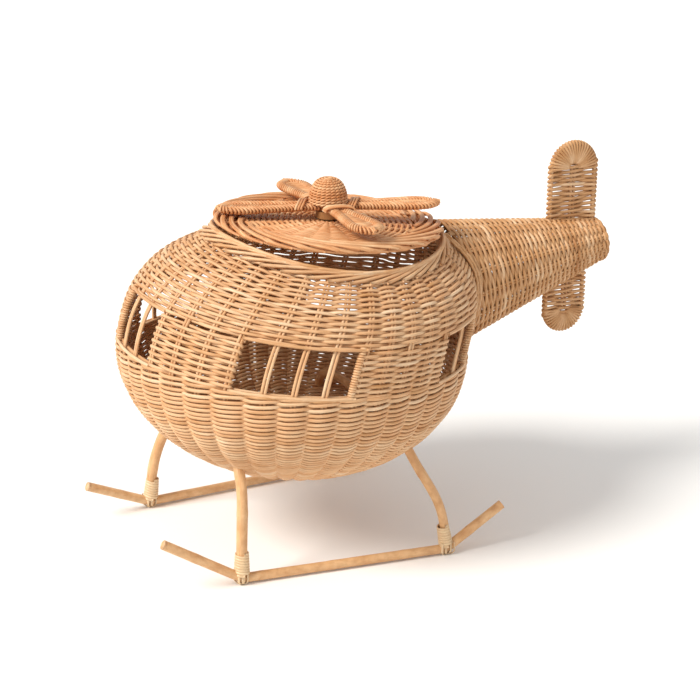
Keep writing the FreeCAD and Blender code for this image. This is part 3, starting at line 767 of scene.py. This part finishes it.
# %% Fins
def fin(name, front, back, tip, root_height, sign, pitch):
    """A hoop and rib of pole, a snake woven between them, and a coil that fans round the end."""
    half = (back - front) / 2
    middle, bend = -(front + back) / 2, tip - sign * half
    inner = half - 0.0048
    a = np.linspace(0, np.pi, 24)
    hoop_x = np.concatenate([np.full(12, inner), inner * np.cos(a), np.full(12, -inner)])
    hoop_z = np.concatenate([np.linspace(root_height, bend, 12), bend + sign * inner * np.sin(a),
                             np.linspace(bend, root_height, 12)])
    hoop = np.stack([middle + hoop_x, 0 * hoop_x, hoop_z], 1)
    poles = [strand(hoop, [0, 1, 0], 2.4 * MM)]
    for x in (-0.0022, 0.0022):
        rib = np.stack([np.full(16, middle + x), np.zeros(16), np.linspace(root_height, bend, 16)], 1)
        poles.append(strand(rib, [0, 1, 0], 1.8 * MM))
    build(name + "_poles", poles, core, "basket", [name + "_frame"])
    path, tint = [], []
    heights = np.arange(root_height, bend + sign * 0.010, sign * pitch)
    for row, z in enumerate(heights[:-1]):
        way = 1 if row % 2 == 0 else -1
        across = np.linspace(-1, 1, 17)
        deep = way * 2.3 * MM * np.cos(np.pi * across)
        sway = 0.7 * MM * np.sin(across * 2.5 + row * 0.4)
        path.append(np.stack([middle + way * inner * across, deep, z + sway], 1))
        loop = np.linspace(0, np.pi, 7)[1:-1]
        rise = z + sway[-1] + (heights[row + 1] - z) * (1 - np.cos(loop)) / 2
        bulge = inner + 3.6 * MM * np.sin(loop)
        path.append(np.stack([middle + way * bulge, deep[-1] * np.cos(loop), rise], 1))
        tint.append(np.full(len(across) + len(loop), shade()))
    weave = [strand(np.vstack(path), [0, 0, 1], 1.55 * MM, flat=1.22, tint=np.concatenate(tint))]
    far, near = inner + 3.0 * MM, 6.0 * MM
    turns = int(np.pi * far / (4.4 * MM))
    t = np.linspace(0, 1, turns * 14)
    sweep = np.pi * t
    coil = 2 * np.pi * turns * t
    radius = (far + near) / 2 + (far - near) / 2 * np.cos(coil)
    path = np.stack([middle + radius * np.cos(sweep), 3.4 * MM * np.sin(coil),
                     bend + sign * radius * np.sin(sweep)], 1)
    fan_tint = 0.5 + 0.18 * np.sin(coil / 7)
    facing = np.stack([-np.sin(sweep), 0 * sweep, sign * np.cos(sweep)], 1)
    weave.append(strand(path, facing, 1.85 * MM, tint=fan_tint))
    build(name + "_weave", weave, boom_core, "basket", [name + "_panel"])


upper_fin_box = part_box("upper_fin_frame")
lower_fin_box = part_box("lower_fin_frame")
fin("upper_fin", -upper_fin_box[1][0], -upper_fin_box[0][0], upper_fin_box[1][2], 0.329, 1, 2.75 * MM)
fin("lower_fin", -lower_fin_box[1][0], -lower_fin_box[0][0], lower_fin_box[0][2], 0.268, -1, 2.75 * MM)

# %% [markdown]
# The skid frame is bent rattan pole. Each runner is one pole with two bends, and each pair of legs
# is one bow. A pole isn't quite round or quite straight: it swells a little at its old leaf nodes.

# %% Bent poles
def smooth_line(points, samples, ease):
    """Straight runs with eased corners: a Bezier corner cut a share of the way along each run."""
    points = np.array(points, float)
    made = [points[0]]
    for i in range(1, len(points) - 1):
        before, here, after = points[i - 1], points[i], points[i + 1]
        cut = min(ease * np.linalg.norm(here - before), ease * np.linalg.norm(after - here))
        a = here + (before - here) / np.linalg.norm(before - here) * cut
        b = here + (after - here) / np.linalg.norm(after - here) * cut
        t = np.linspace(0, 1, 9)[:, None]
        made.append((1 - t) ** 2 * a + 2 * t * (1 - t) * here + t ** 2 * b)
    made.append(points[-1])
    path = np.vstack([np.atleast_2d(m) for m in made])
    run = travelled(path)
    t = np.linspace(0, run[-1], samples)
    return np.stack([np.interp(t, run, path[:, i]) for i in range(3)], 1), t


def spline_line(points, samples):
    """A natural cubic spline through the points, by their spacing: each coordinate's second
    derivative m solves h0 m0 + 2 (h0 + h1) m1 + h1 m2 = 6 (slope1 - slope0)."""
    points = np.array(points, float)
    gaps = np.linalg.norm(np.diff(points, axis=0), axis=1)
    knots = np.concatenate([[0], np.cumsum(gaps)])
    count = len(points)
    system = np.eye(count)
    inner = np.arange(1, count - 1)
    system[inner, inner - 1] = gaps[:-1]
    system[inner, inner] = 2 * (gaps[:-1] + gaps[1:])
    system[inner, inner + 1] = gaps[1:]
    slopes = np.diff(points, axis=0) / gaps[:, None]
    right = np.zeros_like(points)
    right[1:-1] = 6 * np.diff(slopes, axis=0)
    bend = np.linalg.solve(system, right)
    t = np.linspace(0, knots[-1], samples)
    i = np.clip(np.searchsorted(knots, t, side="right") - 1, 0, count - 2)
    a = ((knots[i + 1] - t) / gaps[i])[:, None]
    b = 1 - a
    curve = ((a ** 3 - a) * bend[i] + (b ** 3 - b) * bend[i + 1]) * gaps[i][:, None] ** 2 / 6
    return a * points[i] + b * points[i + 1] + curve, t


def pole(points, radius, ease, samples=120, node_gap=0.085):
    """A round pole whose radius swells by a bell curve at each leaf node and wavers between."""
    path, run = smooth_line(points, samples, ease) if ease else spline_line(points, samples)
    phase = random.random() * node_gap
    swell = np.exp(-(((run + phase) % node_gap - node_gap / 2) / 0.004) ** 2)
    wave = 1 + 0.05 * swell + 0.012 * np.sin(run * 55 + phase * 90)
    return strand(path, [0.1, 0.2, 1.0], radius * wave, sides=14, tint=0.45 + 0.3 * random.random())


# %% [markdown]
# The runners lie flat with upturned ends. Each foot has its own place, because the poles were bent
# by hand, and the two bows pass through the basket above its floor.

# %% Skid frame
RUNNER = 5.4 * MM
STRAP = 1.5 * MM
RUN_HEIGHT = RUNNER + STRAP
feet = {"pf": (0.114, 0.120), "pr": (-0.130, 0.144), "sf": (0.135, -0.119), "sr": (-0.116, -0.132)}
tips = {"pf": (0.203, 0.112, 0.061), "pr": (-0.197, 0.151, 0.053),
        "sf": (0.215, -0.115, 0.042), "sr": (-0.183, -0.136, 0.051)}
for side_name, front, rear in (("port", "pf", "pr"), ("starboard", "sf", "sr")):
    line = [tips[front], (*feet[front], RUN_HEIGHT), (*feet[rear], RUN_HEIGHT), tips[rear]]
    build(side_name + "_runner_pole", [pole(line, RUNNER, 0.10)], pole_skin, "basket",
          [side_name + "_runner"])


def bow_line(port, starboard, lean, pull):
    """The leg's run from one runner up through the basket and down to the other."""
    (px, py), (sx, sy) = feet[port], feet[starboard]
    return [(px, py, RUN_HEIGHT + 0.002), (px + 0.2 * (lean - px), py - 0.08 * pull, 0.060),
            (px + 0.8 * (lean - px), py - 0.55 * pull, 0.116), (lean, py - 1.5 * pull, 0.146),
            (lean, 0, 0.158), (lean, sy + 1.5 * pull, 0.146),
            (sx + 0.8 * (lean - sx), sy + 0.55 * pull, 0.116),
            (sx + 0.2 * (lean - sx), sy + 0.08 * pull, 0.060), (sx, sy, RUN_HEIGHT + 0.002)]


BOWS = {"front_bow": ("pf", "sf", 0.106, 0.030, 6.2 * MM),
        "rear_bow": ("pr", "sr", -0.084, 0.024, 5.4 * MM)}
for name, (port, starboard, lean, pull, radius) in BOWS.items():
    line = bow_line(port, starboard, lean, pull)
    build(name + "_pole", [pole(line, radius, 0.0, 160)], pole_skin, "basket", [name])

# %% [markdown]
# Flat cane, the shiny skin of the rattan, is wound round each leg's foot and taken down across the
# runner, which it ties to the leg.

# %% Cane bindings
def binding(name, foot, other, bow):
    """A flat strip coiled up the foot of the leg, and four flat loops under the runner."""
    low = np.array([*feet[foot], RUN_HEIGHT + 0.001])
    port, starboard, lean, pull, radius = BOWS[bow]
    line = bow_line(port, starboard, lean, pull)
    top = np.array(line[1] if foot == port else line[-2])
    step = (top - low) / np.linalg.norm(top - low)
    made = []
    turns = 8
    t = np.linspace(0, 1, turns * 20)
    place = low + step * (0.004 + 0.025 * t)[:, None]
    beside = np.cross(step, [1, 0, 0])
    beside /= np.linalg.norm(beside)
    ahead = np.cross(beside, step)
    angle = 2 * np.pi * turns * t
    spoke = np.cos(angle)[:, None] * beside + np.sin(angle)[:, None] * ahead
    swell = radius + (1.0 + 1.3 * (1 - t)) * MM
    made.append(tube(place + spoke * swell[:, None], spoke, 1.75 * MM, 0.8 * MM) + (0.7, SIDES, False))
    along = np.array([*feet[other], 0.0]) - np.array([*feet[foot], 0.0])
    along /= np.linalg.norm(along)
    cross = np.cross(along, [0, 0, 1])
    centre = np.array([*feet[foot], RUN_HEIGHT])
    for k in range(4):
        lean_over = (-1) ** k * 0.007
        a = np.linspace(-0.62 * np.pi, 0.62 * np.pi, 30)
        around = np.sin(a)[:, None] * cross - np.cos(a)[:, None] * np.array([0, 0, 1.0])
        ring = centre + (RUNNER + 0.75 * MM) * around
        ring = ring + along * (lean_over * np.sin(a) * 0.6 + (k - 1.5) * 0.0022)[:, None]
        rise = np.clip((np.abs(a) / np.pi - 0.5) / 0.12, 0, 1)[:, None]
        ring = ring + rise * np.array([0, 0, 0.007])
        spoke = ring - centre
        made.append(tube(ring, spoke, 1.6 * MM, 0.7 * MM) + (0.6 + 0.1 * k, SIDES, False))
    build(name + "_cane", made, cane, "basket", [name])


binding("port_front_binding", "pf", "pr", "front_bow")
binding("port_rear_binding", "pr", "pf", "rear_bow")
binding("starboard_front_binding", "sf", "sr", "front_bow")
binding("starboard_rear_binding", "sr", "sf", "rear_bow")

# %% [markdown]
# The lid is a flat disc that leans with the basket. Inside, plain rows go round radial stakes.
# Outside, the stake ends are laid round in sweeping bundles of four that make a scalloped edge.

# %% Lid
lid_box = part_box("lid_border")
LID_CENTRE = (np.array(lid_box[0]) + np.array(lid_box[1])) / 2
LID_RADIUS = (lid_box[1][1] - lid_box[0][1]) / 2
LID_TILT = math.radians(3.8)
lid_up = np.array([-math.sin(LID_TILT), 0, math.cos(LID_TILT)])
print("lid radius", round(LID_RADIUS, 4))


def on_lid(angle, radius, rise):
    """A point in the lid's own leaning disc."""
    x = radius * np.cos(angle)
    y = radius * np.sin(angle)
    ahead = np.array([math.cos(LID_TILT), 0, math.sin(LID_TILT)])
    rise = np.broadcast_to(rise, np.shape(x))
    return LID_CENTRE + x[..., None] * ahead + y[..., None] * np.array([0, 1.0, 0]) + rise[..., None] * lid_up


LID_STAKES = 24
lid = []
for row, radius in enumerate(np.arange(0.012, LID_RADIUS - 0.030, 3.3 * MM)):
    angle = circle(LID_STAKES * 6)
    wave = np.cos(LID_STAKES / 2 * angle + np.pi * row)
    path = on_lid(angle, radius + 0.3 * MM * np.sin(5 * angle + row), 1.7 * MM * wave)
    lid.append(strand(path, lid_up, 1.85 * MM, True))
for k in range(LID_STAKES):
    for sign in (-1, 1):
        reach = np.linspace(0.010, LID_RADIUS - 0.006, 16)
        a = 2 * np.pi * (k + 0.5) / LID_STAKES + sign * 1.5 * MM / reach
        lid.append(strand(on_lid(a, reach, 0.0), lid_up, 1.4 * MM))
build("lid_weave", lid, lid_core, "lid", ["lid_panel"])

# %% [markdown]
# Each bundle of the lid's edge starts on the disc, sweeps outwards while it goes round, and dives
# under the next ones at its end. Finer bundles of three sweep round underneath.

# %% Lid border
edge = []
BUNDLES = 22
BUNDLE_SWEEP, UNDER_SWEEP = math.radians(60), math.radians(50)
for k in range(BUNDLES):
    for j in range(4):
        t = np.linspace(0, 1, 34)
        a = 2 * np.pi * k / BUNDLES + BUNDLE_SWEEP * t + 0.020 * j
        tuck = np.clip((t - 0.80) / 0.20, 0, 1)
        radius = LID_RADIUS - 0.0360 + 0.0338 * np.minimum(t / 0.86, 1) ** 0.85 - 0.0060 * tuck ** 2
        rise = 2.3 * MM + 1.6 * MM * np.sin(np.pi * np.clip(t * 1.15, 0, 1)) - 5.6 * MM * tuck
        edge.append(strand(on_lid(a, radius, rise), lid_up, 2.0 * MM, flat=0.85))
for k in range(BUNDLES):
    for j in range(3):
        t = np.linspace(0, 1, 26)
        a = 2 * np.pi * (k + 0.5) / BUNDLES + UNDER_SWEEP * t
        radius = (LID_RADIUS - 0.026) + 0.0215 * t ** 0.9 - 0.003 * j
        edge.append(strand(on_lid(a, radius, -2.6 * MM - 0.6 * MM * np.sin(np.pi * t)), lid_up, 1.55 * MM))
build("lid_border_weave", edge, lid_core, "lid", ["lid_border"])

# %% [markdown]
# A rotor blade is a long loop of pole, narrow at the hub and wide near its end. Fine core is wound
# round the loop's whole edge, and the field between is filled with slanting strands.

# %% Rotor
hub_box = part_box("hub_dome")
HUB = np.array([(hub_box[0][0] + hub_box[1][0]) / 2, 0.0, hub_box[0][2]])
HUB_RADIUS = (hub_box[1][1] - hub_box[0][1]) / 2
HUB_RISE = hub_box[1][2] - hub_box[0][2]
blade_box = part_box("long_blade_frame")
BLADE_Z = (blade_box[0][2] + blade_box[1][2]) / 2
BLADE_SHAPE = np.array([(0.0, 0.0115), (0.3, 0.0125), (0.6, 0.0175), (0.8, 0.0205), (0.92, 0.0170),
                        (0.985, 0.0085), (1.0, 0.0)])


def half_width(share):
    """Half the blade's width at a share of its reach, by straight lines through its outline."""
    return np.interp(share, BLADE_SHAPE[:, 0], BLADE_SHAPE[:, 1])


def blade_outline(reach, inset):
    """The closed edge of a two-ended paddle, smoothed, drawn in by an inset."""
    t = np.linspace(0, 1, 240, endpoint=False)
    u = np.cos(2 * np.pi * t)
    width = half_width(np.abs(u))
    for _ in range(6):
        width = (np.roll(width, 1) + width + np.roll(width, -1)) / 3
    beside = np.sin(2 * np.pi * t)
    v = width * np.sign(beside + 1e-9) * np.minimum(1, np.abs(beside) * 6) ** 0.5
    x = (reach - inset) * u
    y = v * np.clip(1 - inset / np.maximum(np.abs(v), 0.006), 0.2, 1)
    return x, y


def place_blade(x, y, z, angle):
    """Turn a point of a blade about the hub's axis by an angle in degrees."""
    turn = math.radians(angle)
    return np.stack([HUB[0] + x * math.cos(turn) - y * math.sin(turn),
                     x * math.sin(turn) + y * math.cos(turn), BLADE_Z + z], -1)


def paddle(name, reach, angle):
    """A loop of pole wound with core, and rows of short strands, above and below, across it."""
    x, y = blade_outline(reach, 0.0064)
    line = place_blade(x, y, 0 * x, angle)
    loop = np.vstack([line, line[:1]])
    made = [strand(line, [0, 0, 1], 2.2 * MM, True, sides=8)]
    made.append(wound(loop, [0, 0, 1], 3.1 * MM, 1.45 * MM, 3.9 * MM, 10, 4.9 * MM, 3.4 * MM))
    build(name + "_wound_edge", made, lid_core, "rotor", [name + "_frame"])
    field = []
    for u in np.arange(-reach + 0.022, reach - 0.020, 2.9 * MM):
        half = half_width(abs(u) / reach) - 0.0075
        v = np.linspace(-half, half, 13)
        chevron = 0.5 * (half - np.abs(v)) * np.sign(u)
        for rise in (0.9 * MM, -0.9 * MM):
            path = place_blade(u + chevron, v, rise + 0 * v, angle)
            field.append(strand(path, [0, 0, 1], 1.35 * MM))
    build(name + "_field", field, lid_core, "rotor", [name + "_panel"])


paddle("long_blade", 0.130, 162)
paddle("cross_blade", 0.124, 90)

# %% [markdown]
# The hub is a small woven dome. Pairs of strands go round and change places between stakes, and the
# rows follow the dome's outline at even steps along it.

# %% Hub dome
dome = []
HUB_STAKES = 11
profile_turn = np.linspace(0, np.pi / 2, 200)
dome_radius = (HUB_RADIUS - 0.0035) * np.cos(profile_turn) ** 0.72
dome_height = (HUB_RISE - 0.0035) * np.sin(profile_turn) ** 0.92
dome_run = np.concatenate([[0], np.cumsum(np.hypot(np.diff(dome_radius), np.diff(dome_height)))])
for row, run in enumerate(np.arange(0.0, dome_run[-1] - 0.0015, 3.05 * MM)):
    angle = circle(HUB_STAKES * 8)
    turn = np.interp(run, dome_run, profile_turn)
    radius = np.interp(run, dome_run, dome_radius)
    height = np.interp(run, dome_run, dome_height)
    for sign in (1, -1):
        wave = sign * 1.25 * MM * np.cos(HUB_STAKES * angle)
        twist = sign * 0.7 * MM * np.sin(HUB_STAKES * angle)
        out = np.maximum(radius + wave * math.cos(turn), 0.0012)
        level = height + wave * math.sin(turn) + twist * math.cos(turn)
        path = HUB + np.stack([out * np.cos(angle), out * np.sin(angle), level], 1)
        spoke = np.stack([np.cos(angle) * math.cos(turn), np.sin(angle) * math.cos(turn),
                          math.sin(turn) + 0 * angle], 1)
        dome.append(strand(path, spoke, 1.35 * MM, True))
build("hub_dome_weave", dome, lid_core, "rotor", ["hub_dome"])

# %% [markdown]
# Three short strands go over the root of each blade arm, close to the hub.

# %% Hub lashing
lash = []
for angle in (162, 342, 90, 270):
    for j in range(3):
        t = np.linspace(-1, 1, 22)
        u = 0.0265 + 0.0032 * j + 0.006 * t
        v = 0.0155 * np.sin(t * np.pi / 2)
        z = 0.0062 * np.cos(t * np.pi / 2) ** 0.5
        lash.append(strand(place_blade(u, v, z, angle), [0, 0, 1], 1.35 * MM))
build("hub_lashing_strands", lash, lid_core, "rotor", ["hub_lashing"])

# %% [markdown]
# The peg and its toggle are turned beech, and their frame shapes are right, so they keep them and
# only take the oiled wood.

# %% Peg and toggle
for node in ("rotor_peg", "peg_toggle"):
    piece = frame["nodes"][node]
    piece.data.materials.clear()
    piece.data.materials.append(beech)
    print("oiled beech on", piece.name)

# %% [markdown]
# The light is a bright studio: a broad key from high on the left, as even as a big soft panel far
# off, and a white surround that is weaker than the key, so the right side and the underside of the
# basket fall into a warm shade.

# %% Studio
KEY_STRENGTH, KEY_WIDTH = 3.2, math.radians(24)
SURROUND_STRENGTH = 0.66
view_left = -side
view_front = np.array([toward[0], toward[1], 0.0])
view_front /= np.linalg.norm(view_front)
from_key = 0.80 * view_left + 0.42 * view_front + 0.82 * np.array([0, 0, 1.0])
key_data = bpy.data.lights.new("key", "SUN")
key_data.energy = KEY_STRENGTH
key_data.angle = KEY_WIDTH
key_data.color = (1.0, 0.97, 0.92)
key = bpy.data.objects.new("key", key_data)
bpy.context.scene.collection.objects.link(key)
key.rotation_euler = Vector(-from_key).to_track_quat("-Z", "Y").to_euler()
world = bpy.data.worlds.new("studio")
bpy.context.scene.world = world
world.use_nodes = True
background = world.node_tree.nodes["Background"]
background.inputs["Color"].default_value = (1, 1, 1, 1)
background.inputs["Strength"].default_value = SURROUND_STRENGTH
print("key", KEY_STRENGTH, "surround", SURROUND_STRENGTH)

# %% Studio floor
floor_mesh = bpy.data.meshes.new("studio_floor")
FAR = 6.0
corners = [(-FAR, -FAR, 0), (FAR, -FAR, 0), (FAR, FAR, 0), (-FAR, FAR, 0)]
floor_mesh.from_pydata(corners, [], [(0, 1, 2, 3)])
studio_floor = bpy.data.objects.new("studio_floor", floor_mesh)
bpy.context.scene.collection.objects.link(studio_floor)
matt = bpy.data.materials.new("matt_white_paper")
matt.use_nodes = True
paper = matt.node_tree.nodes["Principled BSDF"]
paper.inputs["Base Color"].default_value = linear("#fbfaf8")
paper.inputs["Roughness"].default_value = 0.9
floor_mesh.materials.append(matt)
bpy.context.scene.view_settings.view_transform = "Standard"
